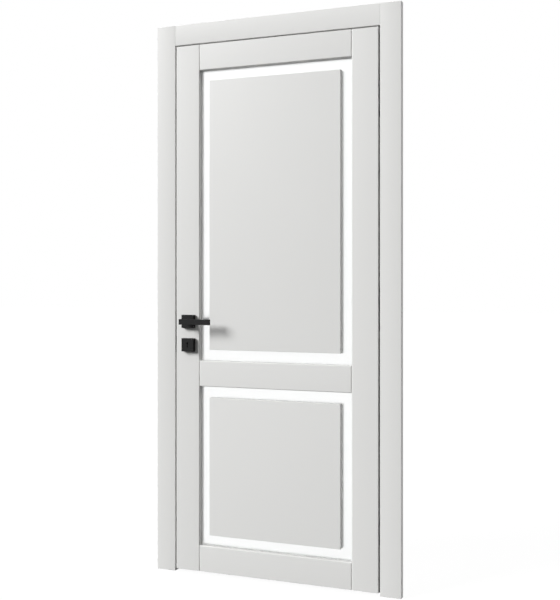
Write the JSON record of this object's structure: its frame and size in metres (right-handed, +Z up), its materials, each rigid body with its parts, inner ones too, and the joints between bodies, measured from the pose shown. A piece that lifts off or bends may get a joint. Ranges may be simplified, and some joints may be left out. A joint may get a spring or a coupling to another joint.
{
  "type": "interior door set",
  "caption": "White glazed interior door leaf with floating panels, in a flush frame with casings, concealed hinges, black lever and key plate.",
  "frame": {"origin": "on the wall face of the hinge-side jamb, halfway through the wall's depth, at floor level", "axes": "+X from the lock side to the hinge side, +Y into the wall away from the side the leaf opens to, +Z up"},
  "size_m": [0.967, 0.188, 2.092],
  "materials": {
    "frame_white_paint": "satin white paint",
    "leaf_white_paint": "satin white paint",
    "panel_white_paint": "satin white paint",
    "satin_glass": "satin",
    "black_metal": "matt black",
    "lock_steel": "brushed",
    "hinge_metal": "satin silver",
    "seal_rubber": "matt"
  },
  "bodies": {
    "frame": {"casing_head": "frame_white_paint", "casing_hinge_side": "frame_white_paint", "casing_lock_side": "frame_white_paint", "hinge_shell_frame_bottom": "hinge_metal", "hinge_shell_frame_middle": "hinge_metal", "hinge_shell_frame_top": "hinge_metal", "jamb_head": "frame_white_paint", "jamb_hinge_side": "frame_white_paint", "jamb_lock_side": "frame_white_paint", "seal_head": "seal_rubber", "seal_hinge_side": "seal_rubber", "seal_lock_side": "seal_rubber", "stop_head": "frame_white_paint", "stop_hinge_side": "frame_white_paint", "stop_lock_side": "frame_white_paint", "strike_plate": "lock_steel"},
    "leaf": {"dead_bolt": "lock_steel", "glass_lower": "satin_glass", "glass_upper": "satin_glass", "hinge_shell_leaf_bottom": "hinge_metal", "hinge_shell_leaf_middle": "hinge_metal", "hinge_shell_leaf_top": "hinge_metal", "key_plate_back": "black_metal", "key_plate_front": "black_metal", "latch_bolt": "lock_steel", "lock_case": "lock_steel", "lock_forend": "lock_steel", "panel_lower_back": "panel_white_paint", "panel_lower_front": "panel_white_paint", "panel_upper_back": "panel_white_paint", "panel_upper_front": "panel_white_paint", "rail_bottom": "leaf_white_paint", "rail_middle": "leaf_white_paint", "rail_top": "leaf_white_paint", "rosette_back": "black_metal", "rosette_front": "black_metal", "stile_hinge": "leaf_white_paint", "stile_lock": "leaf_white_paint"},
    "levers": {"lever_back": "black_metal", "lever_front": "black_metal", "spindle": "lock_steel"},
    "hinge_links_frame": {"hinge_links_frame": "hinge_metal"},
    "hinge_links_leaf": {"hinge_links_leaf": "hinge_metal"}
  },
  "joints": [
    {"name": "leaf_swing", "type": "hinge", "parent": "frame", "child": "leaf", "pos_m": [-0.03925, -0.078, 0], "axis": [0, 0, 1], "range_deg": [0, 165]},
    {"name": "lever_turn", "type": "hinge", "parent": "leaf", "child": "levers", "pos_m": [-0.7875, -0.056, 0.958], "axis": [0, 1, 0], "range_deg": [0, 45], "stiffness_Nm_per_rad": 1.2, "springref_deg": -20.05},
    {"name": "frame_links_turn", "type": "hinge", "parent": "frame", "child": "hinge_links_frame", "pos_m": [-0.023, -0.0594, 0], "axis": [0, 0, 1], "range_deg": [0, 75]},
    {"name": "leaf_links_turn", "type": "hinge", "parent": "leaf", "child": "hinge_links_leaf", "pos_m": [-0.0555, -0.0594, 0], "axis": [0, 0, 1], "range_deg": [-75, 0]}
  ],
  "couplings": [
    {"joint": "frame_links_turn", "follows": "leaf_swing", "ratio": 0.45},
    {"joint": "leaf_links_turn", "follows": "leaf_swing", "ratio": -0.45}
  ]
}
